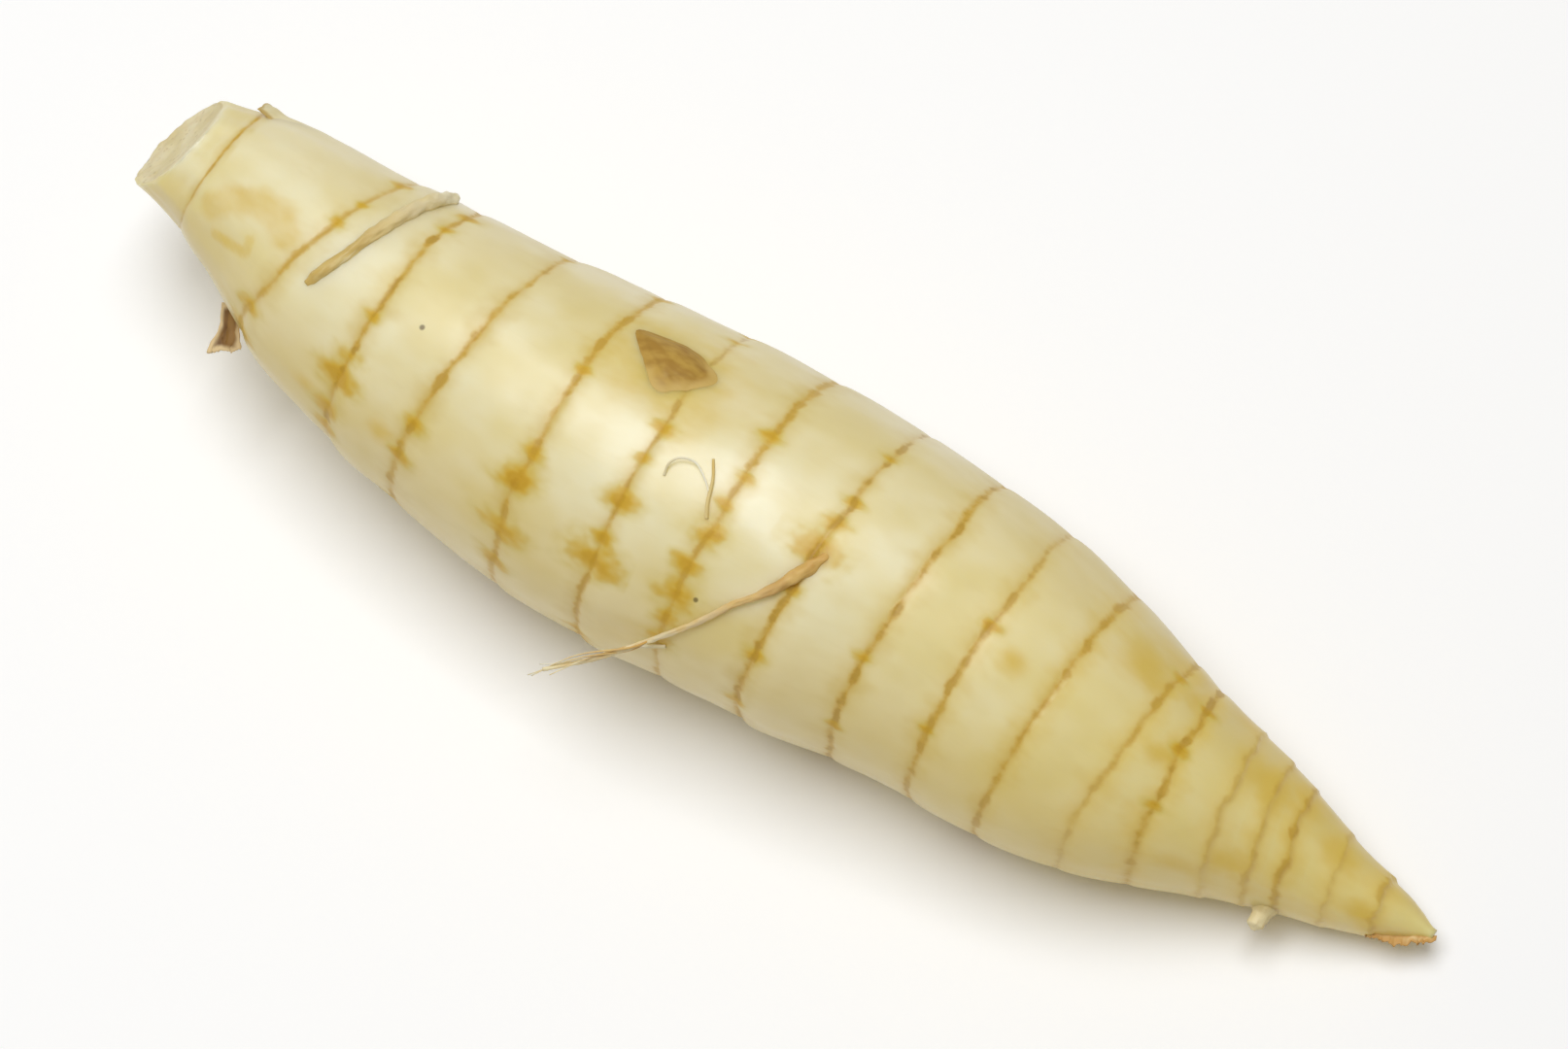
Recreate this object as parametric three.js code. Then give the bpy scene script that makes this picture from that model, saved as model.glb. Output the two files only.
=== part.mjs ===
// A dug and washed arrowroot rhizome, lying on a table: a fleshy underground stem, ringed by the scars of
// its scale leaves, with the dry scales, buds and roots that are still on it.
//
// Millimetres. +X runs along the rhizome from its cut end to its point, +Z is up, and the table is at z = 0.
// "along" is a distance from the cut end. "round" is an angle in degrees about the rhizome's axis: 0 is the
// far side (+Y), 90 the top, 180 the near side (-Y) and 270 the underside. A height is measured out from the
// skin.

import * as THREE from "three";

// Driving dimensions of the rhizome
const START = -85; // x where the distances along it start
const END = 86; // x of the frayed end of the last scale
const INTERNODES = [9, 17, 11.5, 11, 13, 11, 10.5, 11, 10.5, 9.5, 9, 9.5, 5.5, 6.7, 4.3, 3.5, 5.5, 5.5, 6.5];
const LENGTH = INTERNODES.reduce((sum, internode) => sum + internode, 0);
const WIDER = 1.01; // the section is slightly wider than it is high
const LOWER = 0.985;
const SIDES = 44; // flat faces round it
const CUT_EDGE = 0.6; // rounding of the cut end's rim

// The cut faces up a little: its middle is CUT_MIDDLE further along than START, and its upper rim is CUT_LEAN
// further than that. Both fade out over a distance of CUT_FADE.
const CUT_MIDDLE = 3.2;
const CUT_LEAN = 4.2;
const CUT_FADE = 12;

// The relief of one internode: a groove at each ring, then a shoulder that stands out on the side of the
// point. It fades where the rhizome is thinner than FULL_RELIEF.
const GROOVE = 0.5;
const SHOULDER = 0.35;
const SHOULDER_RUN = 0.9;
const FULL_RELIEF = 8;

// Pairs of a distance along the rhizome and a size there
const RADIUS = smooth([
  [0, 6.2], [10, 8.4], [18, 11.1], [28, 13.6], [48, 16.9], [64, 18.7], [78, 19.1], [94, 18.8],
  [108, 17.7], [122, 16], [134, 13.3], [144, 9.8], [154, 6.4], [162, 3.6], [167, 1.6], [LENGTH, 0.3],
]);
const SWAY = smooth([
  [0, 4.5], [14, 4.1], [28, 2], [48, 1.3], [62, 1.5], [78, 2.8], [94, 4.1], [108, 5.1], [122, 4.9],
  [135, 5.2], [149, 7.5], [160, 8.5], [LENGTH, 10.1],
]);
const AXIS_HEIGHT = smooth([
  [0, 23], [28, 20.6], [48, 19.2], [64, 18.4], [78, 18.4], [94, 18.1], [108, 17.1], [122, 15.6],
  [135, 13.1], [149, 9.3], [160, 6.3], [LENGTH, 4.2],
]);

// The rings don't lie quite square: pairs of a distance and how much further along the near side has the ring
const SLANT = smooth([
  [0, -0.5], [9, -0.4], [26, -4.2], [37.5, -0.6], [48.5, -1.8], [61.5, 0.4], [83, 0.3], [94, -0.6], [114, 0],
  [132.5, -0.6], [139, 1.2], [160, 1], [LENGTH, 0],
]);
const NEAR_SIDE = 198;

// Driving dimensions of the pieces on the rhizome, with a gap under each
const GAP = 0.3;
const NECK_SCALE = { along: 14.8, round: 6, long: 14, wide: 15, thick: 0.4, curl: 2.2 };
const TORN_SCALE = { along: 23.8, round: 183, long: 4, wide: 3.8, thick: 0.4, curl: 3.6, drift: 2.6 };
const TIP_SCALE = { round: 208, long: 8, wide: 3.4, thick: 0.35 };
const POINTED_BUD = { along: 69, round: 68, long: 11, wide: 8, thick: 1 };
const ROUND_BUD = { wide: 4.6, thick: 1.3 };
const FAR_BUDS = [[91.8, -24], [111.8, -18], [130.3, -12]]; // in two opposite rows, at every other ring
const NEAR_BUDS = [[59.3, 232], [80.8, 236], [102.3, 232], [120.8, 228]];
const ROOT_NUB = { along: 151.6, round: 188, base: 2.7, end: 1.5, long: 2.9, sunk: 0.2 };

// Roots taper from a base to an end, by way of places: each a distance along, an angle round and a height.
const ROOT_STUB = {
  base: 1.7,
  end: 1.9,
  places: [
    [33, 30, 1.4], [32.5, 51, 1.4], [31.9, 70, 1.4], [31.6, 85, 1.4], [31.5, 98, 1.5], [30.2, 116, 1.7],
  ],
};
const LONG_ROOT = {
  base: 2,
  end: 0.4,
  places: [
    [95.8, 100, 1.2], [95.4, 105, 1.8], [94.3, 112, 1.8], [92.3, 123, 1.5], [89.4, 132, 1.3],
    [87.2, 142, 1.1], [84.6, 151, 1.1], [82.4, 159, 1.2], [80.5, 164, 2.1], [77.2, 171, 4], [72.7, 178, 7],
  ],
};
const LONG_ROOT_BRANCH = {
  base: 0.5,
  end: 0.3,
  places: [[84, 161, 0.1], [81, 168, 0.4], [78, 175, 1.6], [74.5, 182, 3.4], [71, 188, 5.2]],
};
const CURLED_HAIR = {
  base: 0.35,
  end: 0.25,
  places: [
    [75.7, 105, 0.3], [75.6, 101, 0.8], [76.4, 98, 0.9], [78, 97, 0.6], [79.7, 100, 0.4], [80.8, 103, 0.3],
  ],
};
const STRAIGHT_HAIR = {
  base: 0.35,
  end: 0.25,
  places: [[79.3, 93, 0.3], [80.5, 99, 0.4], [81.3, 106, 0.35], [82.1, 111, 0.3]],
};

const finishes = {
  flesh: new THREE.MeshStandardMaterial({ color: 0xe9dfb4, roughness: 0.42, metalness: 0 }),
  scale: new THREE.MeshStandardMaterial({ color: 0xbf9a5c, roughness: 0.75, metalness: 0 }),
  darkScale: new THREE.MeshStandardMaterial({ color: 0x6f4a1c, roughness: 0.8, metalness: 0 }),
  root: new THREE.MeshStandardMaterial({ color: 0xd8c48a, roughness: 0.65, metalness: 0 }),
  bud: new THREE.MeshStandardMaterial({ color: 0x8a6440, roughness: 0.7, metalness: 0 }),
};

// A smooth curve through pairs of distance and value, level beyond its ends
function smooth(pairs) {
  const curve = new THREE.CubicInterpolant(pairs.map((pair) => pair[0]), pairs.map((pair) => pair[1]), 1);
  const last = pairs[pairs.length - 1][0];
  return (along) => curve.evaluate(THREE.MathUtils.clamp(along, 0, last))[0];
}

// A point in the rhizome's section at a distance along it: across is towards the far side, and up is +Z.
function inSection(along, across, up) {
  const slant = SLANT(along) * Math.cos(Math.atan2(up, across) - THREE.MathUtils.degToRad(NEAR_SIDE));
  const lean = (CUT_MIDDLE + CUT_LEAN * up / RADIUS(along)) * Math.max(0, 1 - along / CUT_FADE);
  const place = along + lean + slant * Math.min(1, Math.hypot(across, up) / RADIUS(along));
  const stretch = RADIUS(place) / RADIUS(along);
  return new THREE.Vector3(
    START + place,
    SWAY(place) + WIDER * stretch * across,
    AXIS_HEIGHT(place) + LOWER * stretch * up,
  );
}

function onSkin(along, round, height) {
  const angle = THREE.MathUtils.degToRad(round);
  const reach = RADIUS(along) + SHOULDER + height;
  return inSection(along, reach * Math.cos(angle), reach * Math.sin(angle));
}

function moveVertices(geometry, move) {
  const position = geometry.getAttribute("position");
  const point = new THREE.Vector3();
  for (let i = 0; i < position.count; i++) {
    point.fromBufferAttribute(position, i);
    position.setXYZ(i, ...move(point).toArray());
  }
  geometry.computeVertexNormals();
  return geometry;
}

// Lays a flat piece on the skin: its x goes along the rhizome, its y round it, and its z away from it.
function layOnSkin(geometry, { along, round }) {
  const perDegree = THREE.MathUtils.degToRad(RADIUS(along) + SHOULDER);
  return moveVertices(geometry, (p) => onSkin(along + p.x, round - p.y / perDegree, GAP + p.z));
}

// A flat sheet that stands on z = 0, before it is laid on the skin
function sheet(long, wide, thick) {
  return new THREE.BoxGeometry(long, wide, thick, 6, 8, 1).translate(0, 0, thick / 2);
}

function piece(name, geometry, finish) {
  const mesh = new THREE.Mesh(geometry, finish);
  mesh.name = name;
  return mesh;
}

// The fleshy stem: a ringed profile turned about its axis, bent, and pressed flat where it lies on the table
function rhizome() {
  const rim = RADIUS(0);
  const profile = [[0, 0], [rim - CUT_EDGE, 0], [rim, CUT_EDGE]];
  let ring = 0;
  for (const internode of INTERNODES) {
    const next = ring + internode;
    const run = Math.min(SHOULDER_RUN, internode / 4);
    const halfway = [ring + internode / 2, SHOULDER / 2];
    for (const [along, height] of [[ring + run, SHOULDER], halfway, [next - run, 0], [next, -GROOVE]]) {
      const fade = Math.min(1, RADIUS(along) / FULL_RELIEF);
      if (along < LENGTH) profile.push([RADIUS(along) + fade * height, along]);
    }
    ring = next;
  }
  profile.push([0, LENGTH]);
  const turned = new THREE.LatheGeometry(profile.map((point) => new THREE.Vector2(...point)), SIDES);
  const lying = moveVertices(turned, (p) => {
    const point = inSection(p.y, p.z, p.x);
    point.z = Math.max(0, point.z);
    return point;
  });
  return piece("rhizome", lying, finishes.flesh);
}

// The sheath that still clings to the far side of the neck, its upper edge dried and lifted at one corner
function neckScale() {
  const { long, wide, thick, curl } = NECK_SCALE;
  const lifted = moveVertices(sheet(long, wide, thick), (p) => {
    const towardsEdge = THREE.MathUtils.smoothstep(-p.y, 0.25 * wide, 0.5 * wide);
    p.z += curl * towardsEdge * (0.5 - p.x / long);
    return p;
  });
  return piece("neck_scale", layOnSkin(lifted, NECK_SCALE), finishes.scale);
}

// What is left of the scale torn off at the first full ring: a dark flake that hangs away on the near side,
// narrow where it is attached
function tornScale() {
  const { long, wide, thick, curl, drift } = TORN_SCALE;
  const hanging = moveVertices(sheet(long, wide, thick), (p) => {
    const free = 0.5 - p.y / wide;
    return new THREE.Vector3(p.x * (0.4 + 0.6 * free) + drift * free, p.y, p.z + curl * free ** 1.5);
  });
  return piece("torn_scale", layOnSkin(hanging, TORN_SCALE), finishes.darkScale);
}

// The dry frayed scale under the point
function tipScale() {
  const { long, wide, thick, round } = TIP_SCALE;
  const place = { along: END - START - long / 2, round };
  return piece("tip_scale", layOnSkin(sheet(long, wide, thick), place), finishes.scale);
}

// The bud on the far shoulder: it is three-cornered, lies flat, and points round towards the top
function pointedBud() {
  const { long, wide, thick } = POINTED_BUD;
  const outline = new THREE.Shape();
  outline.moveTo(-long / 2, wide / 8);
  outline.quadraticCurveTo(-long / 5, -wide / 5, 0, -wide / 2);
  outline.quadraticCurveTo(long / 8, -wide / 2, long / 6, -wide / 3);
  outline.quadraticCurveTo(long / 3, -wide / 8, long / 2, 0);
  outline.quadraticCurveTo(long / 3, wide / 2, 0, wide / 2);
  outline.quadraticCurveTo(-long / 3, wide / 2, -long / 2, wide / 8);
  const bevel = { bevelThickness: 0.3 * thick, bevelSize: 0.4 * thick, bevelSegments: 2 };
  const slab = new THREE.ExtrudeGeometry(outline, { depth: 0.4 * thick, curveSegments: 6, ...bevel });
  slab.translate(0, 0, bevel.bevelThickness);
  return piece("pointed_bud", layOnSkin(slab, POINTED_BUD), finishes.bud);
}

// A round bud in the axil of a scale, low and domed
function roundBud([along, round], index) {
  const dome = new THREE.SphereGeometry(0.5, 14, 8);
  dome.rotateX(Math.PI / 2);
  dome.scale(ROUND_BUD.wide, ROUND_BUD.wide, ROUND_BUD.thick);
  dome.translate(0, 0, ROUND_BUD.thick / 2);
  return piece(`round_bud_${index + 1}`, layOnSkin(dome, { along, round }), finishes.bud);
}

// The short pale root beside the point
function rootNub() {
  const { base, end, long, sunk } = ROOT_NUB;
  const nub = new THREE.CylinderGeometry(end / 2, base / 2, long, 10, 2);
  nub.rotateX(Math.PI / 2);
  nub.translate(0, 0, long / 2 - sunk);
  return piece("root_nub", layOnSkin(nub, ROOT_NUB), finishes.root);
}

// The rod's y counts the steps along the root's path.
function root(name, { base, end, places }, sides, steps) {
  const path = new THREE.CatmullRomCurve3(places.map((place) => onSkin(...place)));
  const { normals, binormals } = path.computeFrenetFrames(steps);
  const rod = new THREE.CylinderGeometry(end / 2, base / 2, steps, sides, steps);
  const bent = moveVertices(rod, (p) => {
    const step = Math.round(p.y + steps / 2);
    const middle = path.getPointAt(step / steps);
    return middle.addScaledVector(normals[step], p.x).addScaledVector(binormals[step], -p.z);
  });
  return piece(name, bent, finishes.root);
}

const arrowroot = new THREE.Group();
arrowroot.add(
  rhizome(),
  neckScale(),
  tornScale(),
  tipScale(),
  pointedBud(),
  ...[...FAR_BUDS, ...NEAR_BUDS].map(roundBud),
  rootNub(),
  root("root_stub", ROOT_STUB, 8, 10),
  root("long_root", LONG_ROOT, 6, 24),
  root("long_root_branch", LONG_ROOT_BRANCH, 6, 12),
  root("hair_root_1", CURLED_HAIR, 6, 10),
  root("hair_root_2", STRAIGHT_HAIR, 6, 8),
);

export default arrowroot;
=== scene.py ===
"""A dug and washed arrowroot rhizome on a pale table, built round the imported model.

Lengths are in millimetres until a mesh is finished, which turns it into metres. "along" is a distance
from the cut end of the rhizome. "turn" is an angle in degrees about its axis: 0 is the far side (+Y), 90
the top, 180 the near side (-Y) and 270 the underside. A height is measured out from the skin. "growth" is
a piece's own coordinates for its materials: along its growth, then across it twice.
"""

import math
import random
from bisect import bisect_right
from itertools import accumulate

import bmesh
import bpy
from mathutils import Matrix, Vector, noise


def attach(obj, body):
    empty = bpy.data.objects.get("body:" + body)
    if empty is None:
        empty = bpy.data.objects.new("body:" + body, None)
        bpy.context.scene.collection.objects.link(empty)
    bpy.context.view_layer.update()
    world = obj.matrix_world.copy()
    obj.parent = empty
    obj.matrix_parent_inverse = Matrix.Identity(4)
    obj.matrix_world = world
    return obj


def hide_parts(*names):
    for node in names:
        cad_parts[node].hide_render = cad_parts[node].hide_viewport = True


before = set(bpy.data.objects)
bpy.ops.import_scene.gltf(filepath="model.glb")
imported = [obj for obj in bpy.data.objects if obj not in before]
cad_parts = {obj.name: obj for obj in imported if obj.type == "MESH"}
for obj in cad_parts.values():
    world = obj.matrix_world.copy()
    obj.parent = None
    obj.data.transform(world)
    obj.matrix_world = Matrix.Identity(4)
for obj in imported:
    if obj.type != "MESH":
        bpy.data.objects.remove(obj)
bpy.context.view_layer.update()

MM = 0.001
MEETING = 1e-4  # vertices closer than this are made one

# The shape of the rhizome, by the model's own numbers
START = -85.0  # the cut end, on the frame's X axis
INTERNODES = [9, 17, 11.5, 11, 13, 11, 10.5, 11, 10.5, 9.5, 9, 9.5, 5.5, 6.7, 4.3, 3.5, 5.5, 5.5, 6.5]
RINGS = list(accumulate(INTERNODES))[:-1]
LENGTH = sum(INTERNODES)
WIDER = 1.01  # the section is a little wider than it is high
LOWER = 0.985
NEAR_SIDE = math.radians(198)  # the turn at which the rings slant furthest
CUT_MIDDLE = 3.2  # how far along the middle of the cut face is, and how much further its top is
CUT_LEAN = 4.2
CUT_FADE = 12.0  # the lean of the cut is gone from here on
SHOULDER = 0.26  # how far the skin swells out after a ring
FULL_RELIEF = 8.0  # the radius from which the skin's relief has its full height

# How bends are spread out: over what distance, at how many places, and each step's weight in the average
EVEN_OVER = 6.0
EVEN_PLACES = 85
EVEN_STEPS = [(-1, 0.1), (-0.5, 0.25), (0, 0.3), (0.5, 0.25), (1, 0.1)]


def smooth(pairs):
    """A smooth curve through pairs of distance and value, level beyond its ends."""
    places = [place for place, _ in pairs]
    values = [value for _, value in pairs]
    rises = [(values[i + 1] - values[i]) / (places[i + 1] - places[i]) for i in range(len(pairs) - 1)]
    slopes = [0.0, *((before + after) / 2 for before, after in zip(rises, rises[1:])), 0.0]
    last = len(pairs) - 2

    def value(at):
        i = min(max(bisect_right(places, at) - 1, 0), last)
        run = places[i + 1] - places[i]
        p = min(max((at - places[i]) / run, 0.0), 1.0)
        q = 1.0 - p
        ends = q * q * (1 + 2 * p) * values[i] + p * p * (1 + 2 * q) * values[i + 1]
        return ends + run * p * q * (q * slopes[i] - p * slopes[i + 1])

    return value


def evened(curve):
    """The curve with its bends spread out, so that a gloss runs over it without a break."""
    def average(at):
        spread = min(EVEN_OVER, at / 2, (LENGTH - at) / 3)
        return sum(weight * curve(at + step * spread) for step, weight in EVEN_STEPS)

    places = [LENGTH * i / EVEN_PLACES for i in range(EVEN_PLACES + 1)]
    return smooth([(place, average(place)) for place in places])


# The radius, the place of the axis across and above the table, and how far the rings slant, all by along
RADIUS = evened(smooth([
    (0, 6.2), (10, 8.4), (18, 11.1), (28, 13.6), (48, 16.9), (64, 18.7), (78, 19.1), (94, 18.8),
    (108, 17.7), (122, 16), (134, 13.3), (144, 9.8), (154, 6.4), (162, 3.8), (167, 2.1), (LENGTH, 0.7),
]))
SWAY = smooth([
    (0, 4.5), (14, 4.1), (28, 2), (48, 1.3), (62, 1.5), (78, 2.8), (94, 4.1), (108, 5.1), (122, 4.9),
    (135, 5.2), (149, 7.5), (160, 8.5), (LENGTH, 10.1),
])
AXIS_HEIGHT = smooth([
    (0, 23), (28, 20.6), (48, 19.2), (64, 18.4), (78, 18.4), (94, 18.1), (108, 17.1), (122, 15.6),
    (135, 13.1), (149, 9.3), (160, 6.3), (LENGTH, 4.2),
])
SLANT = smooth([
    (0, -0.5), (9, -0.4), (26, -4.2), (37.5, -0.6), (48.5, -1.8), (61.5, 0.4), (83, 0.3), (94, -0.6),
    (114, 0), (132.5, -0.6), (139, 1.2), (160, 1), (LENGTH, 0),
])

# The round buds on the sides that cannot be seen from above: along and turn
ROUND_BUDS = [(91.8, -24), (111.8, -18), (130.3, -12), (59.3, 232), (80.8, 236), (102.3, 232), (120.8, 228)]

# Small dark dots on the skin: along, turn and radius
DOTS = [(43.2, 103, 0.42), (85.3, 137, 0.4)]


def in_section(along, across, up):
    """A point in the rhizome's section at a distance along it: across is towards the far side, up is +Z."""
    radius = RADIUS(along)
    slant = SLANT(along) * math.cos(math.atan2(up, across) - NEAR_SIDE)
    lean = (CUT_MIDDLE + CUT_LEAN * up / radius) * max(0.0, 1.0 - along / CUT_FADE)
    place = along + lean + slant * min(1.0, math.hypot(across, up) / radius)
    stretch = RADIUS(place) / radius
    return Vector((
        START + place,
        SWAY(place) + WIDER * stretch * across,
        AXIS_HEIGHT(place) + LOWER * stretch * up,
    ))


def step_between(low, high, value):
    """0 below low, 1 above high, and a smooth rise between them."""
    p = min(max((value - low) / (high - low), 0.0), 1.0)
    return p * p * (3 - 2 * p)


def wander(x, y=0.0, z=0.0):
    """Smooth chance, from about -1 to 1, that changes over a distance of about 1."""
    return noise.noise(Vector((x, y, z)))


# --------------------------------------------------------------------------------------------- materials


# Settings that many nodes here share
PRODUCT = {"operation": "MULTIPLY"}
PRODUCT_PLUS = {"operation": "MULTIPLY_ADD"}
SUM = {"operation": "ADD"}
SIZE = {"operation": "ABSOLUTE"}
EASED = {"interpolation_type": "SMOOTHSTEP"}
COLOURS = {"data_type": "RGBA"}
MIXED_COLOUR = 2  # a Mix node's output for colours


def hue(code):
    """The linear colour of an sRGB hex value."""
    channels = [int(code[i:i + 2], 16) / 255 for i in (1, 3, 5)]
    return (*[c / 12.92 if c <= 0.04045 else ((c + 0.055) / 1.055) ** 2.4 for c in channels], 1.0)


def add(tree, kind, inputs, output=0, **settings):
    """Adds a node with its settings, and gives one of its outputs. Its inputs come in their order, or by
    name or number. Each is given a value, or linked to another node's output."""
    made = tree.nodes.new("ShaderNode" + kind)
    for name, value in settings.items():
        setattr(made, name, value)
    for name, value in inputs.items() if isinstance(inputs, dict) else enumerate(inputs):
        if isinstance(value, bpy.types.NodeSocket):
            tree.links.new(value, made.inputs[name])
        else:
            made.inputs[name].default_value = value
    return made.outputs[output] if made.outputs else None


def new_material(name):
    """An empty material, and its node tree."""
    material = bpy.data.materials.new(name)
    material.use_nodes = True
    material.node_tree.nodes.clear()
    return material, material.node_tree


def grain(tree, where, along, around, detail):
    """Chance from 0 to 1 in streaks, that long along the growth and that wide round it, in mm."""
    stretched = add(tree, "VectorMath", (where, (1 / along, 1 / around, 1 / around)), **PRODUCT)
    return add(tree, "TexNoise", {"Vector": stretched, "Scale": 1.0, "Detail": detail, "Roughness": 0.55})


def layered(tree, colour, layers):
    """A colour with others laid over it in turn. Each layer says how much of it shows, then its colour. How
    much is a node's number, or a pattern with where it starts to show, where it shows most, and from what
    share to what share."""
    for shows, over in layers:
        amount = add(tree, "MapRange", shows, **EASED) if isinstance(shows, tuple) else shows
        colour = add(tree, "Mix", {0: amount, 6: colour, 7: over}, MIXED_COLOUR, **COLOURS)
    return colour


def finish_material(tree, colour, roughness, relief, settings):
    """A Principled surface. Its relief is patterns, each with its height in mm. Its settings are the same
    all over, so they are set on its own sockets."""
    height = 0.0
    for pattern, tall in relief:
        height = add(tree, "Math", (pattern, tall, height), **PRODUCT_PLUS)
    bumped = add(tree, "Bump", {"Height": height, "Strength": 1.0, "Distance": MM})
    surface = add(tree, "BsdfPrincipled",
                  {"Base Color": colour, "Roughness": roughness, "Normal": bumped, **settings})
    add(tree, "OutputMaterial", {"Surface": surface})


def waxy_skin():
    """Living rhizome skin: a thin waxy cream layer over starch, so light soaks in and the gloss is broad.
    It yellows towards the point. Down both sides it is yellower, partly its own colour and partly painted
    shade:
    on the far side the shade of a neighbouring rhizome, on the near underside the golden shade of its lower
    edge.
    It has fine lengthwise fibres, and the ochre scars of scale leaves."""
    material, tree = new_material("waxy_rhizome_skin")
    where = add(tree, "Attribute", {}, "Vector", attribute_name="growth")
    along = add(tree, "SeparateXYZ", (where,))
    ring, stain = (
        add(tree, "SeparateXYZ", (add(tree, "Attribute", {}, "Vector", attribute_name=name),)).node.outputs
        for name in ("ring", "stain")
    )
    clouds = grain(tree, where, 13, 9, 2.0)
    flecks = grain(tree, where, 1.9, 1.5, 1.3)
    fibres = grain(tree, where, 12, 0.9, 3.0)
    beads = grain(tree, where, 3.4, 2.4, 3.0)
    runs = grain(tree, where, 5, 3, 2.0)

    # The ground: side is 1 on the far side, 0 above and below, and -1 on the near side
    section = add(tree, "VectorMath", (where, (0, 1, 1)), **PRODUCT)
    side = add(tree, "SeparateXYZ", (add(tree, "VectorMath", (section,), operation="NORMALIZE"),), "Y")
    to_point = add(tree, "MapRange", (along, 88, 150), **EASED)
    to_far_shade = add(tree, "MapRange", (side, -0.1, 0.85), **EASED)
    far_yellow_and_shade = add(tree, "Math", (to_point, 0.4, 0.25), **PRODUCT_PLUS)
    colour = layered(tree, hue("#F6EECA"), (
        ((clouds, 0.3, 0.7), hue("#ECDFA6")),
        (add(tree, "Math", (to_point, 0.5), **PRODUCT), hue("#F0DC7C")),
        # Painted shade, partly its own colour: the far side yellower, most towards the point, as in a
        # neighbouring rhizome's shade
        (add(tree, "Math", (to_far_shade, far_yellow_and_shade), **PRODUCT), hue("#D9C06A")),
        # Painted shade, partly its own colour: the near underside yellower and more golden, as its shaded
        # lower edge
        ((side, -0.45, -1.0, 0, 0.45), hue("#E4CB72")),
        ((runs, 0.45, 0.75, 0, 0.12), hue("#DCCA7E")),
        ((fibres, 0.55, 0.8, 0, 0.06), hue("#D2BF78")),
    ))

    # A scar: a thin golden line that fades and widens into beads, brown in places
    off = add(tree, "Math", (ring[0],), **SIZE)
    strength = ring[1]
    beading = add(tree, "MapRange", (beads, 0.38, 0.7, 0.06, 0.5), **EASED)
    half_width = add(tree, "Math", (beading, strength, 0.13), **PRODUCT_PLUS)
    fraying = add(tree, "MapRange", (flecks, 0.3, 0.7, -0.16, 0.16), **EASED)
    frayed = add(tree, "Math", (half_width, fraying), **SUM)
    inside = add(tree, "Math", (frayed, off), operation="SUBTRACT")
    line = add(tree, "MapRange", (inside, -0.36, 0.26), **EASED)
    for fading in ((strength, 0.0, 0.8), (beads, 0.28, 0.5, 0.3, 1.0)):
        line = add(tree, "Math", (line, add(tree, "MapRange", fading, **EASED)), **PRODUCT)
    brown = add(tree, "MapRange", (inside, -0.1, 0.22, 0, 0.6), **EASED)
    for fading in (ring[2], add(tree, "MapRange", (beads, 0.44, 0.6), **EASED)):
        brown = add(tree, "Math", (brown, fading), **PRODUCT)

    # The yellow halo round a scar, and a softer one close to its line
    halo_colour = layered(tree, hue("#D8BE62"), ((to_point, hue("#EACE6A")),))
    halo_strength = add(tree, "Math", (to_point, 0.4, strength), **PRODUCT_PLUS)
    halos = []
    for spreading, starts, full, shown in ((-4.0, 0.9, -2.2, halo_strength), (-0.8, 0.7, -0.4, strength)):
        wavering = add(tree, "Math", (runs, spreading, off), **PRODUCT_PLUS)
        halo = add(tree, "MapRange", (wavering, starts, full, 0, 0.6), **EASED)
        halos.append(add(tree, "Math", (halo, shown), **PRODUCT))

    # Smudges between the scars, some partly painted shade, and ochre marks on them with ragged edges and
    # darker cores
    smudged_and_shaded = add(tree, "Math", (stain[1], runs), **SUM)
    ragged = add(tree, "Math", (stain[0], -1.75), **SUM)
    for pattern, share in ((flecks, 1.3), (runs, 2.2)):
        ragged = add(tree, "Math", (pattern, share, ragged), **PRODUCT_PLUS)
    spot = add(tree, "MapRange", (ragged, -0.6, 0.55), **EASED)
    core = add(tree, "MapRange", (ragged, 0.15, 0.8, 0, 0.55), **EASED)
    colour = layered(tree, colour, (
        (halos[0], halo_colour),
        (halos[1], hue("#D8B854")),
        # Smudges, partly painted shade where a neighbouring rhizome's shade yellowed the skin
        ((smudged_and_shaded, 0.1, 1.5, 0, 0.75), hue("#E2C352")),
        ((ragged, -1.4, 0.4, 0, 0.7), hue("#DCC868")),
        (add(tree, "Math", (line, 0.85), **PRODUCT), hue("#D6B044")),
        (add(tree, "Math", (spot, 0.85), **PRODUCT), hue("#DBB22C")),
        (brown, hue("#B28A2C")),
        (add(tree, "Math", (core, stain[2]), **PRODUCT), hue("#C6960F")),
    ))
    for dot_along, turn, size in DOTS:
        angle = math.radians(turn)
        middle = (dot_along, RADIUS(dot_along) * math.cos(angle), RADIUS(dot_along) * math.sin(angle))
        away = add(tree, "VectorMath", (where, middle), "Value", operation="DISTANCE")
        colour = layered(tree, colour, (((away, size, 0.4 * size, 0, 0.85), hue("#7C6A3C")),))

    # The gloss is broad, a little uneven, and duller on the scars and marks
    roughness = add(tree, "MapRange", (clouds, 0.3, 0.7, 0.3, 0.38), **EASED)
    for pattern, duller in ((line, 0.2), (spot, 0.12)):
        roughness = add(tree, "Math", (pattern, duller, roughness), **PRODUCT_PLUS)
    finish_material(tree, colour, roughness, ((fibres, 0.01), (flecks, 0.02), (line, 0.05), (spot, 0.05)), {
        "IOR": 1.45,
        "Subsurface Weight": 0.75,
        "Subsurface Radius": (1.0, 0.96, 0.84),
        "Subsurface Scale": 3.5 * MM,
        "Coat Weight": 0.22,
        "Coat Roughness": 0.3,
    })
    return material


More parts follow.
